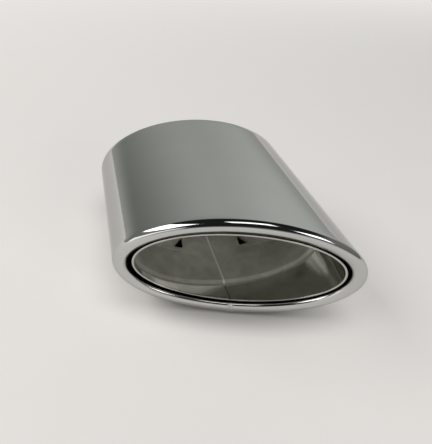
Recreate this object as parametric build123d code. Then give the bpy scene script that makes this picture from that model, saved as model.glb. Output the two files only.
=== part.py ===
from build123d import *
from math import atan2, cos, degrees, pi, radians, sin, tan
import os

# Oval double-walled exhaust tip, in millimetres.
# X runs along the tip from inlet to outlet, Z is up, and the origin is the centre of the
# inlet on the plane of the shell's rear edge.

# Outer shell: a straight oval tube with a slanted mouth and a rolled lip
shell_width = 120.0
shell_height = 69.0
shell_length = 114.6  # along the axis, from the rear edge to the mouth plane
shell_wall = 1.2
mouth_rake = 16.4  # degrees, top of the mouth ahead of its bottom
mouth_sweep = 14.0  # degrees, +Y side of the mouth ahead of the other
lip_round = 3.9  # radius from the shell's wall over the lip
lip_slope = 30.0  # degrees, lip's straight face turned in towards the mouth
lip_face = 1.0  # along that face
edge_round = 2.0  # radius at the lip's inner edge
lip_return = 0.7  # straight end of the rolled edge
lip_narrowing = 0.7  # lip narrower at its two ends than at its top and bottom
lip_skew = 0.35  # inner edge of the lip off centre, towards the mouth's short side

# Inlet sleeve: a round tube that slips over the tailpipe
pipe_diameter = 42.0
pipe_clearance = 0.5  # all round the tailpipe
sleeve_wall = 1.2
sleeve_length = 46.0
weld_clearance = 0.15  # all round, between pieces that are welded one inside another

# Inner liner: an oval sheet tube whose back is pinched down to the sleeve
liner_wall = 1.2
liner_gap = 1.3  # between the lip and the liner's mouth, at top and bottom
liner_recess = 2.8  # liner's edge behind the mouth plane
shoulder_front = 91.5
shoulder_length = 2.4
shoulder_height = 1.4
pinch_front = 62.5
pinch_length = 15.0
collar_length = 13.0  # round end of the liner, lapped over the sleeve

# Relief cuts where the pinched sheet would otherwise crumple
relief_tip = 9.5  # behind the front of the pinch
relief_mouth = 2.0  # behind the front of the pinch
relief_inner = 17.0  # from the middle plane to the cut's inner edge
relief_width = 6.0

# End plate: a pressed plate between the shell and the sleeve
plate_wall = 1.2
plate_flange = 6.0  # depth of the flanges, which point to the rear
plate_setback = 1.5  # flange edges inside the shell's rear edge
plate_bend = 2.4  # outside radius of the flange bends

# How many flats stand for the rounded edges and the pinch
lip_steps = (5, 2)  # over the lip's large and small rounds
roll_steps = (2, 1)  # the same, inside the rolled lip
bend_steps = 2
pinch_steps = 6

# Rings that cross the axis closer together than this lie in one plane
flat_limit = 1e-6

# Sizes that follow from those above
half_width = shell_width / 2
half_height = shell_height / 2
lip_turn = radians(lip_slope)
lip_width = lip_round * (1 + sin(lip_turn)) + lip_face * cos(lip_turn) + edge_round * (1 - sin(lip_turn))
edge_depth = lip_round * (1 - cos(lip_turn)) + lip_face * sin(lip_turn) + edge_round * cos(lip_turn)
sleeve_inner = pipe_diameter / 2 + pipe_clearance
sleeve_outer = sleeve_inner + sleeve_wall
collar_inner = sleeve_outer + weld_clearance
pinch_rear = pinch_front - pinch_length
shoulder_rear = shoulder_front - shoulder_length
liner_inset = lip_width + liner_gap + liner_wall + shoulder_height
liner_half_width = half_width - liner_inset
liner_half_height = half_height - liner_inset


def oval(wide, high, x):
    """An oval square to the axis, from its half width and half height."""
    return Edge.make_ellipse(wide, high, Plane.YZ.offset(x))


def circle(radius, x):
    """A circle square to the axis."""
    return Edge.make_circle(radius, Plane.YZ.offset(x))


def slanted_oval(wide, high, x, slant=1, shift=0):
    """The oval where a bar along the axis is cut on the mouth's slant, or on a share of that slant.

    A shift moves the oval sideways in its own plane, towards the mouth's short side.
    """
    sweep = slant * tan(radians(mouth_sweep))
    rake = slant * tan(radians(mouth_rake))
    across = Vector(wide * sweep, wide, 0)
    upward = Vector(high * rake, 0, high)
    turn = atan2(2 * across.dot(upward), across.dot(across) - upward.dot(upward)) / 2
    major = across * cos(turn) + upward * sin(turn)
    minor = upward * cos(turn) - across * sin(turn)
    plane = Plane(origin=(x - sweep * shift, -shift, 0), x_dir=major, z_dir=major.cross(minor))
    start = -degrees(turn)
    return Edge.make_ellipse(major.length, minor.length, plane, start, start + 360)


def behind_mouth(depth):
    """Where the axis crosses a plane that lies a depth behind the mouth."""
    return shell_length - depth * Vector(1, tan(radians(mouth_sweep)), tan(radians(mouth_rake))).length


def shell_mouth(inset, depth):
    """A ring of the shell's mouth, at an inset from the shell's outside.

    Past its crest the lip is narrower at its two ends, and off centre.
    """
    share = max(0, inset - lip_round) / (lip_width - lip_round)
    wide = half_width - inset + lip_narrowing * share
    return slanted_oval(wide, half_height - inset, behind_mouth(depth), shift=lip_skew * share)


def arc(inset, depth, radius, start, end, steps):
    """Steps round an arc about a centre, by the way they face: -90 degrees is out, 0 ahead and 90 in."""
    angles = [radians(start + (end - start) * step / steps) for step in range(steps + 1)]
    return [(inset + radius * sin(angle), depth - radius * cos(angle)) for angle in angles]


def lip_section(sheet, steps):
    """Steps over the lip as (inset, depth), on its surface or a sheet's thickness inside it.

    They run from the shell's wall over a large round, down a sloping face and over a small round.
    """
    large_steps, small_steps = steps
    large = arc(lip_round, lip_round, lip_round - sheet, -90, lip_slope, large_steps)
    small = arc(lip_width - edge_round, edge_depth, edge_round - sheet, lip_slope, 90, small_steps)
    return large + small + [(lip_width - sheet, edge_depth + lip_return)]


def band(one, two):
    """The skin from one ring to another: flat where both lie in one plane, and ruled elsewhere."""
    if abs(one.center().X - two.center().X) > flat_limit:
        return Face.make_surface_from_curves(one, two)
    inner, outer = sorted((one, two), key=lambda ring: ring.length)
    return Face(Wire([outer]), [Wire([inner])])


def skinned(rings):
    """A solid whose skin runs from each ring to the next, and from the last back to the first."""
    return Solid(Shell([band(one, two) for one, two in zip(rings, rings[1:] + rings[:1])]))


def make_outer_shell():
    outside = [oval(half_width, half_height, 0)]
    outside += [shell_mouth(inset, depth) for inset, depth in lip_section(0, lip_steps)]
    inside = [oval(half_width - shell_wall, half_height - shell_wall, 0)]
    inside += [shell_mouth(inset, depth) for inset, depth in lip_section(shell_wall, roll_steps)]
    return skinned(outside + inside[::-1])


def liner_side(grow):
    """Rings along the liner's inside, or its outside when grown by the sheet's thickness."""
    widening = liner_half_width - collar_inner
    rising = liner_half_height - collar_inner
    pinch_start = pinch_rear - grow * tan(atan2(widening, pinch_length) / 2)
    shoulder_shift = grow * tan(atan2(shoulder_height, shoulder_length) / 2)
    collar = collar_inner + grow
    rings = [circle(collar, pinch_rear - collar_length), circle(collar, pinch_start)]
    for step in range(1, pinch_steps + 1):
        opened = 1 - cos(pi / 2 * step / pinch_steps)
        x = pinch_start + pinch_length * step / pinch_steps
        rings.append(oval(collar + widening * opened, collar + rising * opened, x))
    wide = liner_half_width + grow
    high = liner_half_height + grow
    rings.append(oval(wide, high, shoulder_rear - shoulder_shift))
    wide += shoulder_height
    high += shoulder_height
    front = shoulder_front - shoulder_shift
    mouth = behind_mouth(liner_recess)
    rings.append(oval(wide, high, front))
    rings.append(slanted_oval(wide, high, (front + mouth) / 2, slant=1 / 2))
    rings.append(slanted_oval(wide, high, mouth))
    return rings


def make_relief_cut():
    """One three-cornered cut, through the liner's floor and roof on the +Y side."""
    front = pinch_front - relief_mouth
    outline = Polygon(
        (pinch_front - relief_tip, relief_inner),
        (front, relief_inner),
        (front, relief_inner + relief_width),
        align=None,
    )
    return extrude(outline, amount=half_height, both=True)


def make_inner_liner():
    sheet = skinned(liner_side(liner_wall) + liner_side(0)[::-1])
    relief = make_relief_cut()
    return sheet - relief - mirror(relief, about=Plane.XZ)


def make_inlet_sleeve():
    section = Plane.YZ * (Circle(sleeve_outer) - Circle(sleeve_inner))
    return extrude(section, amount=sleeve_length, dir=(1, 0, 0))


def plate_side(inset):
    """Rings across the plate's front, or its back when inset by the sheet.

    They run from the edge of the outer flange to the edge of the collar.
    """
    front = plate_setback + plate_flange - inset
    fit = shell_wall + weld_clearance + inset
    wide = half_width - fit
    high = half_height - fit
    radius = plate_bend - inset
    bend = arc(radius, radius, radius, -90, 0, bend_steps)
    rings = [oval(wide, high, plate_setback)]
    rings += [oval(wide - step, high - step, front - depth) for step, depth in bend]
    rings += [circle(collar_inner + inset + step, front - depth) for step, depth in bend[::-1]]
    rings += [circle(collar_inner + inset, plate_setback)]
    return rings


def make_end_plate():
    return skinned(plate_side(0) + plate_side(plate_wall)[::-1])


os.makedirs("parts", exist_ok=True)
export_step(make_outer_shell(), "parts/outer_shell.step")
export_step(make_inner_liner(), "parts/inner_liner.step")
export_step(make_inlet_sleeve(), "parts/inlet_sleeve.step")
export_step(make_end_plate(), "parts/end_plate.step")
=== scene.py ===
from math import atan2, cos, exp, pi, radians, sin, tan

import bmesh
import bpy
import numpy as np
from mathutils import Matrix, Vector, noise


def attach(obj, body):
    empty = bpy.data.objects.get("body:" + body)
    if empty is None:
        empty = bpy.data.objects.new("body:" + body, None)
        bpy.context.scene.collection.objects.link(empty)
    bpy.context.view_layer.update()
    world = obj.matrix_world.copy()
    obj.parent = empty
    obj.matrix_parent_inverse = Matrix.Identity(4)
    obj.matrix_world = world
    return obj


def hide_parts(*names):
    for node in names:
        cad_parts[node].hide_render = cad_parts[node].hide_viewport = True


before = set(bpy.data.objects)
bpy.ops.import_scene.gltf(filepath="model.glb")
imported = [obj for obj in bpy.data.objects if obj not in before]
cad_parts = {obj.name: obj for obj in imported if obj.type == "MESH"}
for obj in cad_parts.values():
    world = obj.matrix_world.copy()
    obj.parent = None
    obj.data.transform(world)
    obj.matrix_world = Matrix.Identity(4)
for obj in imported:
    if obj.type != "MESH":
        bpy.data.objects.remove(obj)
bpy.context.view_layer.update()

# A double-walled oval exhaust tip with its finish, and a studio around it.
# The tip's sizes are in millimetres, in the frame's own axes: X from inlet to outlet,
# Y to the longer side of the mouth, Z up.
MM = 0.001

# Outer shell: a straight oval tube with a slanted mouth and a rolled lip
HALF_WIDTH = 60.0
HALF_HEIGHT = 34.5
SHELL_LENGTH = 114.6  # along the axis, from the rear edge to the mouth plane
SHELL_WALL = 1.2
MOUTH_RAKE = tan(radians(16.4))  # top of the mouth ahead of its bottom
MOUTH_SWEEP = tan(radians(14.0))  # +Y side of the mouth ahead of the other
LIP_ROUND = 3.9  # radius from the shell's side over the lip
LIP_SLOPE = radians(30)  # lip's straight face turned in towards the mouth
LIP_FACE = 1.0  # along that face
LIP_EDGE_ROUND = 2.0  # radius at the lip's inner edge
LIP_RETURN = 0.7  # straight end of the rolled edge
LIP_NARROWING = 0.7  # lip narrower at its two ends than at its top and bottom
LIP_SKEW = 0.35  # inner edge of the lip off centre, towards the mouth's short side
SHEET_EDGE = 0.3  # rounding of the cut edges of the shell, the liner and the sleeve

# Inlet sleeve: a round tube that slips over the tailpipe
SLEEVE_INNER = 21.5
SLEEVE_WALL = 1.2
SLEEVE_LENGTH = 46.0
WELD_CLEARANCE = 0.15  # all round, between pieces that are welded one inside another

# Inner liner: an oval sheet tube with a shoulder, whose back is pinched down to a round collar
LINER_WALL = 1.2
LINER_GAP = 1.3  # between the lip and the liner's mouth, at top and bottom
LINER_RECESS = 2.8  # liner's edge behind the mouth plane
SHOULDER_FRONT = 91.5
SHOULDER_LENGTH = 2.4
SHOULDER_HEIGHT = 1.4
SHOULDER_BEND = 0.15  # share of the shoulder's length that is bent, at each of its ends
PINCH_FRONT = 62.5
PINCH_LENGTH = 15.0
PINCH_BEND = 1.5  # half the length of the bend at each end of the pinch
COLLAR_LENGTH = 13.0

# Relief cuts where the pinched sheet would otherwise crumple
RELIEF_TIP = 9.5  # behind the front of the pinch
RELIEF_MOUTH = 2.0  # behind the front of the pinch
RELIEF_INNER = 17.0  # from the middle plane to the cut's inner edge
RELIEF_WIDTH = 6.0
RELIEF_CORNER = 0.6  # rounding of the cut's corners

# End plate: a pressed plate between the shell and the sleeve
PLATE_WALL = 1.2
PLATE_FLANGE = 6.0
PLATE_SETBACK = 1.5  # flange edges inside the shell's rear edge
PLATE_BEND = 2.4

# Weld seam along the liner's floor: a rippled bead, ground down to a groove in front of the shoulder
SEAM_HALF_WIDTH = 0.8
SEAM_HEIGHT = 0.3
SEAM_RIPPLE_LENGTH = 1.6
SEAM_RIPPLE = 0.25  # share of the bead's height
GROOVE_HALF_WIDTH = 0.45
GROOVE_DEPTH = 0.12

# Rough weld across the bottom of the lip
LIP_WELD_HALF_WIDTH = 1.3
LIP_WELD_HEIGHT = 0.5
LIP_WELD_BASE = 0.4  # share of the height that is even
LIP_WELD_LUMPS = ((1.5, 1.0), (3.7, 0.6))  # lumps to a millimetre, with their share of the height

# Thin ridge that the pinch leaves at its front, beside the relief cuts
RIDGE_HALF_WIDTH = 0.45
RIDGE_HEIGHT = 0.4
RIDGE_START = 11.0  # from the middle plane
RIDGE_BEND = 3.0  # how far its inner end bends to the rear
RIDGE_LUMPS = 0.15  # to a millimetre

# Mesh fineness
AROUND = 360
BOTTOM = 1.5 * pi  # angle round the oval where the welds run
BOTTOM_SPAN = 0.1  # radians to either side of the bottom, with finer steps
BOTTOM_STEPS = 72
LIP_STEPS = 22
EDGE_STEPS = 4
SHELL_OUTSIDE_STEPS = 30
SHELL_INSIDE_STEPS = 6
LINER_INSIDE_STEPS = (100, 24, 12, 16)  # along the pinch, the body, the shoulder and the mouth
LINER_OUTSIDE_STEPS = (16, 3, 6, 3)
PINCH_BEND_SAMPLES = 13
RELIEF_CORNER_STEPS = 4
SLEEVE_STEPS = 8
PLATE_STEPS = 12
PLATE_BEND_STEPS = 8
SHARP_ANGLE = radians(40)  # faces that meet at more than this keep a sharp edge

# Sizes that follow from those above
MOUTH_SLANT = Vector((1, MOUTH_SWEEP, MOUTH_RAKE)).length
LIP_ROUND_WIDTH = LIP_ROUND * (1 + sin(LIP_SLOPE))
LIP_WIDTH = LIP_ROUND_WIDTH + LIP_FACE * cos(LIP_SLOPE) + LIP_EDGE_ROUND * (1 - sin(LIP_SLOPE))
LIP_FACE_END = LIP_ROUND * (1 - cos(LIP_SLOPE)) + LIP_FACE * sin(LIP_SLOPE)
LIP_EDGE_CENTRE = LIP_FACE_END + LIP_EDGE_ROUND * cos(LIP_SLOPE)
LIP_END = LIP_EDGE_CENTRE + LIP_RETURN
SLEEVE_OUTER = SLEEVE_INNER + SLEEVE_WALL
COLLAR_INNER = SLEEVE_OUTER + WELD_CLEARANCE
LINER_INSET = LIP_WIDTH + LINER_GAP + LINER_WALL + SHOULDER_HEIGHT
LINER_HALF_WIDTH = HALF_WIDTH - LINER_INSET
LINER_HALF_HEIGHT = HALF_HEIGHT - LINER_INSET
PINCH_REAR = PINCH_FRONT - PINCH_LENGTH
COLLAR_REAR = PINCH_REAR - COLLAR_LENGTH

# Chrome of the shell: colours, least and greatest roughness, and the cloud that both follow
CHROME_STOPS = ((0.0, (0.545, 0.55, 0.535, 1)), (1.0, (0.60, 0.605, 0.59, 1)))
CHROME_EDGE_TINT = (0.75, 0.75, 0.75, 1)
CHROME_ROUGHNESS = (0.05, 0.11)
CHROME_CLOUD = {"Scale": 45.0, "Detail": 4.0}

# Bare sheet: darkest and lightest colour, and least and greatest roughness
LINER_REAR = ((0.56, 0.558, 0.518, 1), (0.71, 0.707, 0.66, 1), (0.62, 0.76))
LINER_MOUTH = ((0.47, 0.466, 0.43, 1), (0.55, 0.545, 0.505, 1), (0.13, 0.18))
TUBE_STEEL = ((0.74, 0.74, 0.725, 1), (0.82, 0.82, 0.805, 1), (0.16, 0.24))
MILL_STEEL = ((0.42, 0.42, 0.41, 1), (0.52, 0.52, 0.51, 1), (0.34, 0.48))
# Near-white on the raised weld bead at the liner's rear: a painted highlight along a real bead
PAINTED_BEAD_HIGHLIGHT = (0.95, 0.945, 0.91, 1)
WELD_GROOVE = (0.2, 0.197, 0.185, 1)

# Tarnish and grain of the bare sheet, with the grain drawn out along the tip
TARNISH = {"Scale": 110.0, "Detail": 5.0, "Distortion": 0.8}
TARNISH_STOPS = (0.3, 0.7)  # of the darkest and the lightest colour
GRAIN = {"Scale": 1.0, "Detail": 3.0}
GRAIN_SCALE = (60.0, 1800.0, 1800.0)  # to a metre
GRAIN_RELIEF = {"Strength": 0.12, "Distance": 0.00005}

# Floor, in metres: pale paper that turns grey well in front of the tip, with an even light of its own
FLOOR_REACH = 6.0
FLOOR_LEVEL = -HALF_HEIGHT * MM
FLOOR_FINISH = {"Roughness": 0.8, "Specular IOR Level": 0.1, "Emission Color": (0.35, 0.34, 0.33, 1)}
PAPER_CLOUD = {"Scale": 30.0, "Detail": 4.0}
PAPER_STOPS = ((0.0, (0.73, 0.705, 0.68, 1)), (1.0, (0.77, 0.745, 0.72, 1)))
FLOOR_GREY = (0.25, 0.247, 0.24, 1)
FLOOR_FADE = (0.45, 0.24)  # along X, from grey to pale
FLOOR_RISE = (0.0, -1.8)  # along X, over which the even light doubles behind the tip

# Where the tip stands on the floor, in metres, and the painted shadow round it: near the tip the floor's
# even light is left out, so the floor there shows only lamp light, with the lamps' real shadow in it
FOOT_FRONT = 0.098
FOOT_STRETCH = 3.0  # ahead of the foot, how many times a distance counts
PAINTED_SHADOW_FADE = (0.02, 0.08)
PAINTED_SHADOW_LIMIT = 0.4  # ahead of the foot and behind it, how far a distance counts

# Soft boxes: name, azimuth and elevation in degrees, width and height in metres, radiance
SOFTBOXES = (
    ("box_left", -91, 42, 1.85, 0.7, 3.0),
    ("box_left_low", -66, 6, 1.8, 0.4, 1.2),
    ("box_right", 27, 21, 0.5, 0.6, 3.5),
    ("box_top", 0, 70, 0.7, 0.6, 2.4),
)
SOFTBOX_DISTANCE = 1.6
SOFTBOX_TARGET = Vector((0.09, 0, 0))

# Room behind the tip, from its left to its right, and its other parts.
# A fade goes by a part of the unit vector to the place: X ahead, Y to the right, Z up.
ROOM_SIDES = (
    (0.15, (0.20, 0.21, 0.195, 1)),
    (0.6, (0.47, 0.49, 0.455, 1)),
    (0.85, (0.60, 0.62, 0.585, 1)),
)
ROOM_SPREAD = (-0.8, 0.8)
ROOM_LOW = (0.45, 0.455, 0.44, 1)
ROOM_LOW_FADE = (-0.02, 0.24)
ROOM_FRONT = (0.2, 0.205, 0.195, 1)
ROOM_FRONT_FADE = (-0.6, -0.2)
ROOM_DARK = (0.015, 0.016, 0.015, 1)
ROOM_TOP_FADE = (0.55, 0.75)

# The dark part of the room just in front of the tip
DARK_AZIMUTH = radians(-14)
DARK_ELEVATION = radians(14)
DARK_RADIUS = radians(36)
DARK_EDGE = radians(14)

# Camera: the photograph's view, for an image of 432 by 444 pixels
IMAGE_LONG_SIDE = 444
FOCAL_PIXELS = 500.0
SENSOR_WIDTH = 36.0
CLIP_START = 0.01
EYE = (293.9, -72.7, 144.7)  # in millimetres, in the tip's frame
VIEW_AZIMUTH = radians(-17.5)
VIEW_ELEVATION = radians(31.3)
VIEW_ROLL = radians(-7.0)


def angles_around():
    """Angles round the oval, closer together at the bottom where the welds run."""
    low, high = BOTTOM - BOTTOM_SPAN, BOTTOM + BOTTOM_SPAN
    coarse = np.linspace(high, low + 2 * pi, AROUND, endpoint=False)
    fine = np.linspace(low, high, BOTTOM_STEPS, endpoint=False)
    return np.concatenate([fine, coarse])


def rounding(radius, steps):
    """Steps round a quarter circle, as (inset, depth) from the corner, from the side to the front."""
    turns = [pi / 2 * step / steps for step in range(steps + 1)]
    return [(radius * (1 - cos(turn)), radius * (1 - sin(turn))) for turn in turns]


ANGLES = angles_around()
EDGE = rounding(SHEET_EDGE, EDGE_STEPS)


def oval_ring(wide, high, x):
    """Points on an oval square to the axis."""
    return np.stack([np.full_like(ANGLES, x), wide * np.cos(ANGLES), high * np.sin(ANGLES)], axis=1)


def circle_ring(radius, x):
    """Points on a circle square to the axis."""
    return oval_ring(radius, radius, x)


def mouth_ring(wide, high, depth, shift=0):
    """Points where an oval bar is cut on the slant of the mouth, at a depth behind it.

    A shift moves the oval sideways in its own plane, towards the mouth's short side.
    """
    y, z = wide * np.cos(ANGLES) - shift, high * np.sin(ANGLES)
    x = SHELL_LENGTH - depth * MOUTH_SLANT + MOUTH_SWEEP * y + MOUTH_RAKE * z
    return np.stack([x, y, z], axis=1)


def shell_mouth(inset, depth):
    """A ring of the shell's mouth, at an inset from the shell's outside.

    Past its crest the lip is narrower at its two ends, and off centre.
    """
    share = max(0, inset - LIP_ROUND) / (LIP_WIDTH - LIP_ROUND)
    wide = HALF_WIDTH - inset + LIP_NARROWING * share
    return mouth_ring(wide, HALF_HEIGHT - inset, depth, LIP_SKEW * share)


def between(first, last, count):
    """Rings spaced evenly from one ring to another, without the two ends."""
    return [first + (last - first) * step / (count + 1) for step in range(1, count + 1)]


def linked(name, data):
    """A new object in the scene."""
    made = bpy.data.objects.new(name, data)
    bpy.context.scene.collection.objects.link(made)
    return made


def closed_mesh(name, points, faces):
    """A closed skin with its faces turned outwards."""
    mesh = bpy.data.meshes.new(name)
    mesh.from_pydata(points, [], faces)
    work = bmesh.new()
    work.from_mesh(mesh)
    bmesh.ops.recalc_face_normals(work, faces=work.faces)
    work.to_mesh(mesh)
    work.free()
    return mesh


def sheet_piece(name, rings):
    """A closed skin over rings that run out along one side of a sheet and back along the other."""
    count, around = len(rings), len(ANGLES)
    faces = []
    for ring in range(count):
        here, there = ring * around, (ring + 1) % count * around
        for step in range(around):
            beside = (step + 1) % around
            faces.append((here + step, here + beside, there + beside, there + step))
    mesh = closed_mesh(name, (np.concatenate(rings) * MM).tolist(), faces)
    mesh.shade_smooth()
    return linked(name, mesh)


def lip_section(sheet, steps):
    """Steps over the lip, as (inset, depth), from the shell's side to the lip's inner edge.

    A large round, a straight face that slopes into the mouth, and a smaller round, all lying
    a sheet's thickness inside the lip's own surface, or on it when that is nothing.
    """
    large, small = LIP_ROUND - sheet, LIP_EDGE_ROUND - sheet
    edge_inset = LIP_WIDTH - LIP_EDGE_ROUND
    section = []
    for step in range(steps + 1):
        turn = pi / 2 - (pi / 2 + LIP_SLOPE) * step / steps
        section.append((LIP_ROUND - large * sin(turn), LIP_ROUND - large * cos(turn)))
    for step in range(steps + 1):
        turn = LIP_SLOPE + (pi / 2 - LIP_SLOPE) * step / steps
        section.append((edge_inset + small * sin(turn), LIP_EDGE_CENTRE - small * cos(turn)))
    return section


def lip_welded(ring):
    """A ring of the lip with the rough weld that crosses its front at the bottom.

    The weld stands out from the lip's core.
    """
    core = shell_mouth(LIP_WIDTH / 2, LIP_ROUND)
    out = ring.copy()
    crossed = (np.abs(ring[:, 1]) < 2 * LIP_WELD_HALF_WIDTH) & (ring[:, 2] < 0)
    for step in np.nonzero(crossed)[0]:
        place = Vector(ring[step])
        away = Vector(ring[step] - core[step]).normalized()
        rough = LIP_WELD_BASE + sum(share * noise.noise(place * lumps) for lumps, share in LIP_WELD_LUMPS)
        profile = exp(-((ring[step, 1] / LIP_WELD_HALF_WIDTH) ** 4))
        height = LIP_WELD_HEIGHT * rough * profile * max(0.0, away.x)
        out[step] = ring[step] + np.array(away * height)
    return out


def shell_rings():
    """Rings along the shell's outside from its rear edge, over the lip and back along its inside."""
    wide, high = HALF_WIDTH - SHELL_WALL, HALF_HEIGHT - SHELL_WALL
    lip = lip_section(0, LIP_STEPS)
    roll = lip_section(SHELL_WALL, LIP_STEPS // 2)
    outer = [oval_ring(HALF_WIDTH - inset, HALF_HEIGHT - inset, depth) for inset, depth in EDGE[::-1]]
    inner = [oval_ring(wide + inset, high + inset, depth) for inset, depth in EDGE]
    rings = outer + between(outer[-1], shell_mouth(*lip[0]), SHELL_OUTSIDE_STEPS)
    rings += [lip_welded(shell_mouth(inset, depth)) for inset, depth in lip]
    rings += [shell_mouth(LIP_WIDTH - inset, LIP_END - depth) for inset, depth in EDGE]
    rings += [shell_mouth(LIP_WIDTH - SHELL_WALL + inset, LIP_END - depth) for inset, depth in EDGE[::-1]]
    rings += [shell_mouth(inset, depth) for inset, depth in roll[::-1]]
    rings += between(rings[-1], inner[0], SHELL_INSIDE_STEPS) + inner
    return rings


def pinch_opened(x):
    """How far the pinch has opened at a place, from 0 at the collar to 1, with a bend at each end."""
    places = np.linspace(x - PINCH_BEND, x + PINCH_BEND, PINCH_BEND_SAMPLES)
    share = np.clip((places - PINCH_REAR) / PINCH_LENGTH, 0, 1)
    return float(np.mean(1 - np.cos(pi / 2 * share)))


def pinch_rings(grow, steps):
    """Rings from the end of the liner's round collar to its oval body."""
    collar = COLLAR_INNER + grow
    widening = LINER_HALF_WIDTH - COLLAR_INNER
    rising = LINER_HALF_HEIGHT - COLLAR_INNER
    shift = grow * tan(atan2(widening, PINCH_LENGTH) / 2)
    rings = [circle_ring(collar, COLLAR_REAR + SHEET_EDGE)]
    for x in np.linspace(PINCH_REAR - PINCH_BEND, PINCH_FRONT + PINCH_BEND, steps + 1):
        opened = pinch_opened(x)
        rings.append(oval_ring(collar + widening * opened, collar + rising * opened, x - shift))
    return rings


def ramped(share, bend):
    """A straight ramp from 0 to 1 whose two ends are bent over a share of its length."""
    if share > 0.5:
        return 1 - ramped(1 - share, bend)
    return (share - bend / 2 if share > bend else share * share / (2 * bend)) / (1 - bend)


def shoulder_rings(grow, steps):
    """Rings up the liner's shoulder, from its body to its mouth."""
    wide, high = LINER_HALF_WIDTH + grow, LINER_HALF_HEIGHT + grow
    shift = grow * tan(atan2(SHOULDER_HEIGHT, SHOULDER_LENGTH) / 2)
    rear = SHOULDER_FRONT - SHOULDER_LENGTH - shift
    rings = []
    for share in [step / steps for step in range(steps + 1)]:
        rise = SHOULDER_HEIGHT * ramped(share, SHOULDER_BEND)
        rings.append(oval_ring(wide + rise, high + rise, rear + SHOULDER_LENGTH * share))
    return rings


def seamed(ring):
    """A ring of the liner's inside with the weld seam along its floor."""
    x, y, z = ring.T
    ripple = 1 + SEAM_RIPPLE * np.sin(2 * pi * x / SEAM_RIPPLE_LENGTH)
    bead = SEAM_HEIGHT * ripple * np.exp(-((y / SEAM_HALF_WIDTH) ** 2))
    groove = -GROOVE_DEPTH * np.exp(-((y / GROOVE_HALF_WIDTH) ** 2))
    share = np.clip((SHOULDER_FRONT - x) / SHOULDER_LENGTH, 0, 1)
    seam = np.where(z < 0, share * bead + (1 - share) * groove, 0)
    return np.stack([x, y, z + seam], axis=1)


def ridged(ring):
    """A ring of the liner's inside with the thin uneven ridge beside its relief cuts."""
    x, y, z = ring.T
    share = np.clip((np.abs(y) - RIDGE_START) / (RELIEF_INNER - RIDGE_START), 0, 1)
    uneven = np.array([noise.noise(Vector((*place, 0)) * RIDGE_LUMPS) for place in ring[:, 1:]])
    along = (x - PINCH_FRONT + RIDGE_BEND * (1 - share) - uneven) / RIDGE_HALF_WIDTH
    height = RIDGE_HEIGHT * share * (1 + uneven) * np.exp(-(along ** 2))
    inward = np.stack([0 * x, -y, -z], axis=1) / np.hypot(y, z)[:, None]
    return ring + inward * height[:, None]


def liner_side(grow, all_steps):
    """Rings along the liner's inside, or its outside when grown by the sheet's thickness."""
    pinch_steps, body_steps, shoulder_steps, mouth_steps = all_steps
    pinch = pinch_rings(grow, pinch_steps)
    shoulder = shoulder_rings(grow, shoulder_steps)
    wide = LINER_HALF_WIDTH + grow + SHOULDER_HEIGHT
    high = LINER_HALF_HEIGHT + grow + SHOULDER_HEIGHT
    mouth = mouth_ring(wide, high, LINER_RECESS + SHEET_EDGE)
    body = between(pinch[-1], shoulder[0], body_steps)
    return pinch + body + shoulder + between(shoulder[-1], mouth, mouth_steps) + [mouth]


def liner_edge(grow, edge):
    """Rings round the liner's front edge, on its inside, or its outside when grown by the sheet."""
    wide = LINER_HALF_WIDTH + SHOULDER_HEIGHT + grow
    high = LINER_HALF_HEIGHT + SHOULDER_HEIGHT + grow
    side = -1 if grow else 1
    return [mouth_ring(wide + side * inset, high + side * inset, LINER_RECESS + depth)
            for inset, depth in edge]


def liner_rings():
    """Rings along the liner's outside, round its front edge, back along its inside and round its rear."""
    collar_outer = COLLAR_INNER + LINER_WALL
    outside = liner_side(LINER_WALL, LINER_OUTSIDE_STEPS)
    inside = [seamed(ridged(ring)) for ring in liner_side(0, LINER_INSIDE_STEPS)]
    front = liner_edge(LINER_WALL, EDGE[1:]) + liner_edge(0, EDGE[:0:-1])
    rear = [circle_ring(COLLAR_INNER + inset, COLLAR_REAR + depth) for inset, depth in EDGE[1:]]
    rear += [circle_ring(collar_outer - inset, COLLAR_REAR + depth) for inset, depth in EDGE[:0:-1]]
    return outside + front + inside[::-1] + rear


def relief_cutter(side):
    """A three-cornered bar with rounded corners, upright through the liner on one side."""
    tip, front = PINCH_FRONT - RELIEF_TIP, PINCH_FRONT - RELIEF_MOUTH
    corners = [(tip, RELIEF_INNER), (front, RELIEF_INNER), (front, RELIEF_INNER + RELIEF_WIDTH)]
    points = [(x * MM, side * y * MM, z * MM) for z in (-HALF_HEIGHT, HALF_HEIGHT) for x, y in corners]
    faces = [(0, 1, 2), (3, 4, 5), (0, 1, 4, 3), (1, 2, 5, 4), (2, 0, 3, 5)]
    mesh = closed_mesh("relief_cutter", points, faces)
    work = bmesh.new()
    work.from_mesh(mesh)
    upright = [edge for edge in work.edges if abs(edge.verts[0].co.z - edge.verts[1].co.z) > MM]
    bmesh.ops.bevel(work, geom=upright, offset=RELIEF_CORNER * MM, segments=RELIEF_CORNER_STEPS,
                    affect="EDGES")
    work.to_mesh(mesh)
    work.free()
    return linked("relief_cutter", mesh)


def cut_reliefs(liner):
    """Three-cornered cuts through the liner's floor and roof, on both sides."""
    for side in (1, -1):
        cutter = relief_cutter(side)
        mesh = cutter.data
        cut = liner.modifiers.new("relief", "BOOLEAN")
        cut.object = cutter
        cut.operation = "DIFFERENCE"
        cut.solver = "EXACT"
        bpy.context.view_layer.objects.active = liner
        bpy.ops.object.modifier_apply(modifier=cut.name)
        bpy.data.objects.remove(cutter)
        bpy.data.meshes.remove(mesh)
    liner.data.set_sharp_from_angle(angle=SHARP_ANGLE)


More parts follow.
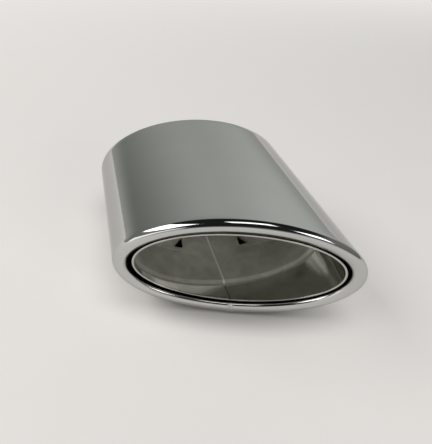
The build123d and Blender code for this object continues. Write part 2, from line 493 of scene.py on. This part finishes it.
def sleeve_rings():
    """Rings along the sleeve's outside from its rear edge, and back along its inside."""
    outside = [circle_ring(SLEEVE_OUTER - inset, depth) for inset, depth in EDGE[::-1]]
    front = [circle_ring(SLEEVE_OUTER - inset, SLEEVE_LENGTH - depth) for inset, depth in EDGE]
    inside = [circle_ring(SLEEVE_INNER + inset, SLEEVE_LENGTH - depth) for inset, depth in EDGE[::-1]]
    rear = [circle_ring(SLEEVE_INNER + inset, depth) for inset, depth in EDGE]
    rings = outside + between(outside[-1], front[0], SLEEVE_STEPS) + front
    return rings + inside + between(inside[-1], rear[0], SLEEVE_STEPS) + rear


def plate_side(inset):
    """Rings across the plate's front, or its back when inset by the sheet.

    They run from the edge of the outer flange to the edge of the collar.
    """
    front = PLATE_SETBACK + PLATE_FLANGE - inset
    fit = SHELL_WALL + WELD_CLEARANCE + inset
    wide, high = HALF_WIDTH - fit, HALF_HEIGHT - fit
    collar = COLLAR_INNER + inset
    bend = rounding(PLATE_BEND - inset, PLATE_BEND_STEPS)
    rings = [oval_ring(wide, high, PLATE_SETBACK)]
    rings += [oval_ring(wide - step, high - step, front - depth) for step, depth in bend]
    collar_bend = [circle_ring(collar + step, front - depth) for step, depth in bend[::-1]]
    rings += between(rings[-1], collar_bend[0], PLATE_STEPS) + collar_bend
    return rings + [circle_ring(collar, PLATE_SETBACK)]


def plate_rings():
    """Rings across the plate's front and back again across its rear."""
    return plate_side(0) + plate_side(PLATE_WALL)[::-1]


def fill(tree, node, inputs):
    """Set each input of a node to a value, or link it to another node's output."""
    for name, value in inputs.items():
        if isinstance(value, bpy.types.NodeSocket):
            tree.links.new(value, node.inputs[name])
        else:
            node.inputs[name].default_value = value


def new_node(tree, kind, inputs, **settings):
    """A shader node with its settings and inputs."""
    node = tree.nodes.new("ShaderNode" + kind)
    for name, value in settings.items():
        setattr(node, name, value)
    fill(tree, node, inputs)
    return node


def new_material(name):
    """A material with its node tree, its shader and the place on the object that its nodes go by."""
    material = bpy.data.materials.new(name)
    material.use_nodes = True
    tree = material.node_tree
    place = new_node(tree, "TexCoord", {}).outputs["Object"]
    return material, tree, tree.nodes["Principled BSDF"], place


def axes(tree, place):
    """The X, Y and Z of a place."""
    return new_node(tree, "SeparateXYZ", {"Vector": place}).outputs


def measured(tree, operation, *vectors):
    """A number from one or two vectors."""
    return new_node(tree, "VectorMath", dict(enumerate(vectors)), operation=operation).outputs["Value"]


def joined(tree, operation, *values):
    """A number from one or two numbers."""
    return new_node(tree, "Math", dict(enumerate(values)), operation=operation).outputs["Value"]


def mapped(tree, value, start, end, low=0.0, high=1.0, **settings):
    """A number that goes from low to high as a node's value goes from start to end."""
    inputs = {"Value": value, "From Min": start, "From Max": end, "To Min": low, "To Max": high}
    return new_node(tree, "MapRange", inputs, **settings).outputs["Result"]


def faded(tree, value, start, end):
    """A share that rises smoothly from 0 to 1 as a node's value goes from start to end."""
    return mapped(tree, value, start, end, interpolation_type="SMOOTHSTEP")


def clouded(tree, place, cloud):
    """Uneven noise over a place, from 0 to 1."""
    return new_node(tree, "TexNoise", {"Vector": place, **cloud}).outputs["Fac"]


def coloured(tree, value, stops, interpolation="LINEAR"):
    """A colour that follows a node's value through stops, each a position and a colour."""
    node = new_node(tree, "ValToRGB", {"Fac": value})
    ramp = node.color_ramp
    ramp.interpolation = interpolation
    ramp.elements[0].position, ramp.elements[0].color = stops[0]
    ramp.elements[1].position, ramp.elements[1].color = stops[-1]
    for position, colour in stops[1:-1]:
        ramp.elements.new(position).color = colour
    return node.outputs["Color"]


def mixed(tree, share, first, second):
    """A colour between two, each of them a colour or the output of a node."""
    node = new_node(tree, "Mix", {"Factor": share}, data_type="RGBA")
    places = [place for place, socket in enumerate(node.inputs) if socket.type == "RGBA"]
    fill(tree, node, dict(zip(places, (first, second))))
    return next(socket for socket in node.outputs if socket.type == "RGBA")


def chrome_material():
    """Polished chrome, faintly clouded."""
    material, tree, shader, place = new_material("polished_chrome")
    cloud = clouded(tree, place, CHROME_CLOUD)
    fill(tree, shader, {
        "Metallic": 1.0,
        "Specular Tint": CHROME_EDGE_TINT,
        "Base Color": coloured(tree, cloud, CHROME_STOPS),
        "Roughness": mapped(tree, cloud, 0, 1, *CHROME_ROUGHNESS),
    })
    return material


def sheet_finish(tree, tarnish, grain, finish):
    """Colour and roughness of bare sheet: uneven by the tarnish, streaked by the grain."""
    dark, light, roughness = finish
    colour = coloured(tree, tarnish, tuple(zip(TARNISH_STOPS, (dark, light))))
    return colour, mapped(tree, grain, 0, 1, *roughness)


def seam_share(tree, y, z):
    """A share that is 1 along the weld seam on the liner's floor, and 0 elsewhere."""
    line = faded(tree, joined(tree, "ABSOLUTE", y), SEAM_HALF_WIDTH * MM, SEAM_HALF_WIDTH / 4 * MM)
    return joined(tree, "MULTIPLY", line, faded(tree, z, 0, -HALF_HEIGHT / 4 * MM))


def liner_finish(tree, place, rear, mouth):
    """The liner's colour and roughness, from its rear to its mouth, with the weld seam in both: a painted
    highlight along the bead at the rear, a dark line along the groove at the mouth.
    """
    x, y, z = axes(tree, place)
    seam = seam_share(tree, y, z)
    front = faded(tree, x, SHOULDER_FRONT * MM, (SHOULDER_FRONT + SHOULDER_LENGTH) * MM)
    # Painted highlight along the weld bead behind the shoulder
    rear_colour = mixed(tree, seam, rear[0], PAINTED_BEAD_HIGHLIGHT)
    mouth_colour = mixed(tree, seam, mouth[0], WELD_GROOVE)
    rough = new_node(tree, "Mix", {"Factor": front, "A": rear[1], "B": mouth[1]}).outputs["Result"]
    return mixed(tree, front, rear_colour, mouth_colour), rough


def sheet_material(name, finish, mouth_finish=None):
    """Rolled stainless sheet with a fine grain and a little tarnish.

    A second finish, where there is one, takes over at the liner's mouth.
    """
    material, tree, shader, place = new_material(name)
    drawn_out = new_node(tree, "Mapping", {"Vector": place, "Scale": GRAIN_SCALE}).outputs["Vector"]
    grain = clouded(tree, drawn_out, GRAIN)
    tarnish = clouded(tree, place, TARNISH)
    colour, rough = sheet_finish(tree, tarnish, grain, finish)
    if mouth_finish:
        mouth = sheet_finish(tree, tarnish, grain, mouth_finish)
        colour, rough = liner_finish(tree, place, (colour, rough), mouth)
    fill(tree, shader, {
        "Metallic": 1.0,
        "Base Color": colour,
        "Roughness": rough,
        "Normal": new_node(tree, "Bump", {"Height": grain, **GRAIN_RELIEF}).outputs["Normal"],
    })
    return material


def dress(piece, node, material):
    """Give a piece its finish, and let it stand for a node of the frame."""
    piece.data.materials.append(material)
    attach(piece, "root")
    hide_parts(node)


def build_object():
    """The four sheet-metal pieces, each with its finish."""
    chrome = chrome_material()
    satin = sheet_material("satin_liner", LINER_REAR, LINER_MOUTH)
    tube = sheet_material("tube_steel", TUBE_STEEL)
    mill = sheet_material("mill_steel", MILL_STEEL)
    dress(sheet_piece("shell_skin", shell_rings()), "outer_shell", chrome)
    liner = sheet_piece("liner_skin", liner_rings())
    cut_reliefs(liner)
    dress(liner, "inner_liner", satin)
    dress(sheet_piece("sleeve_skin", sleeve_rings()), "inlet_sleeve", tube)
    dress(sheet_piece("plate_skin", plate_rings()), "end_plate", mill)


def seen_share(tree):
    """A share that is 1 for what the camera sees, directly or in metal or glass, and 0 for other light."""
    path = new_node(tree, "LightPath", {}).outputs
    seen = joined(tree, "MAXIMUM", path["Is Camera Ray"], path["Is Glossy Ray"])
    return joined(tree, "MAXIMUM", seen, path["Is Transmission Ray"])


def outside_painted_shadow(tree, place, x, y):
    """A share that rises from 0 under the tip to 1 a little way off: a painted shadow, partly real, since
    the lamps' own shadow shows inside it and the floor's even light is left out there.

    The front of the painted shadow follows the sweep of the mouth.
    """
    swept = measured(tree, "DOT_PRODUCT", place, (1, -MOUTH_SWEEP, 0))
    ahead = mapped(tree, swept, FOOT_FRONT, FOOT_FRONT + PAINTED_SHADOW_LIMIT, high=PAINTED_SHADOW_LIMIT * FOOT_STRETCH)
    behind = mapped(tree, x, 0, -PAINTED_SHADOW_LIMIT, high=PAINTED_SHADOW_LIMIT)
    apart = new_node(tree, "CombineXYZ", {"X": ahead, "Y": y, "Z": behind}).outputs["Vector"]
    return faded(tree, measured(tree, "LENGTH", apart), *PAINTED_SHADOW_FADE)


def floor_material():
    """Pale paper, faintly uneven, that turns grey well in front of the tip."""
    material, tree, shader, place = new_material("pale_floor")
    x, y, _ = axes(tree, place)
    near = faded(tree, x, *FLOOR_FADE)
    paper = coloured(tree, clouded(tree, place, PAPER_CLOUD), PAPER_STOPS)
    even = joined(tree, "ADD", near, faded(tree, x, *FLOOR_RISE))
    # Painted shadow: the even light is left out round the tip, darkening the floor there beyond the lamps'
    # real shadow
    even = joined(tree, "MULTIPLY", even, outside_painted_shadow(tree, place, x, y))
    fill(tree, shader, {
        **FLOOR_FINISH,
        "Base Color": mixed(tree, near, FLOOR_GREY, paper),
        "Emission Strength": joined(tree, "MULTIPLY", seen_share(tree), even),
    })
    return material


def add_floor():
    """A large square of paper at the height of the tip's underside."""
    mesh = bpy.data.meshes.new("floor")
    corners = [(-1, -1), (1, -1), (1, 1), (-1, 1)]
    points = [(x * FLOOR_REACH, y * FLOOR_REACH, FLOOR_LEVEL) for x, y in corners]
    mesh.from_pydata(points, [], [(0, 1, 2, 3)])
    floor = linked("floor", mesh)
    floor.data.materials.append(floor_material())


def direction(azimuth, elevation):
    """A unit vector, with azimuth from +X towards +Y."""
    return Vector((cos(elevation) * cos(azimuth), cos(elevation) * sin(azimuth), sin(elevation)))


def add_softbox(name, azimuth, elevation, width, height, radiance):
    """An area lamp that faces the tip."""
    lamp = bpy.data.lights.new(name, "AREA")
    lamp.shape = "RECTANGLE"
    lamp.size, lamp.size_y = width, height
    lamp.energy = radiance * width * height * pi
    away = direction(radians(azimuth), radians(elevation))
    box = linked(name, lamp)
    box.location = SOFTBOX_TARGET + away * SOFTBOX_DISTANCE
    box.rotation_euler = away.to_track_quat("Z", "Y").to_euler()


def add_room():
    """World light: a grey room, lighter behind the tip to the right, and dark above and just in front."""
    world = bpy.data.worlds.new("room")
    bpy.context.scene.world = world
    world.use_nodes = True
    tree = world.node_tree
    way = new_node(tree, "TexCoord", {}).outputs["Generated"]
    x, y, z = axes(tree, way)
    sides = coloured(tree, mapped(tree, y, *ROOM_SPREAD), ROOM_SIDES, "EASE")
    behind = mixed(tree, faded(tree, z, *ROOM_LOW_FADE), ROOM_LOW, sides)
    around = mixed(tree, faded(tree, x, *ROOM_FRONT_FADE), behind, ROOM_FRONT)
    ahead = measured(tree, "DOT_PRODUCT", way, direction(DARK_AZIMUTH, DARK_ELEVATION))
    dark = faded(tree, ahead, cos(DARK_RADIUS + DARK_EDGE), cos(DARK_RADIUS))
    dark = joined(tree, "MAXIMUM", dark, faded(tree, z, *ROOM_TOP_FADE))
    fill(tree, tree.nodes["Background"], {"Color": mixed(tree, dark, around, ROOM_DARK)})


def add_camera():
    """The camera, rolled a little about its own line of sight."""
    back = direction(VIEW_AZIMUTH, VIEW_ELEVATION)
    right = Vector((0, 0, 1)).cross(back).normalized()
    up = back.cross(right)
    rolled_right = right * cos(VIEW_ROLL) - up * sin(VIEW_ROLL)
    rolled_up = right * sin(VIEW_ROLL) + up * cos(VIEW_ROLL)
    lens = bpy.data.cameras.new("camera")
    lens.sensor_width = SENSOR_WIDTH
    lens.lens = FOCAL_PIXELS * SENSOR_WIDTH / IMAGE_LONG_SIDE
    lens.clip_start = CLIP_START
    camera = linked("camera", lens)
    turn = Matrix((rolled_right, rolled_up, back)).transposed()
    camera.matrix_world = Matrix.Translation(Vector(EYE) * MM) @ turn.to_4x4()
    bpy.context.scene.camera = camera


build_object()
add_floor()
for softbox in SOFTBOXES:
    add_softbox(*softbox)
add_room()
add_camera()
bpy.context.scene.view_settings.view_transform = "Standard"
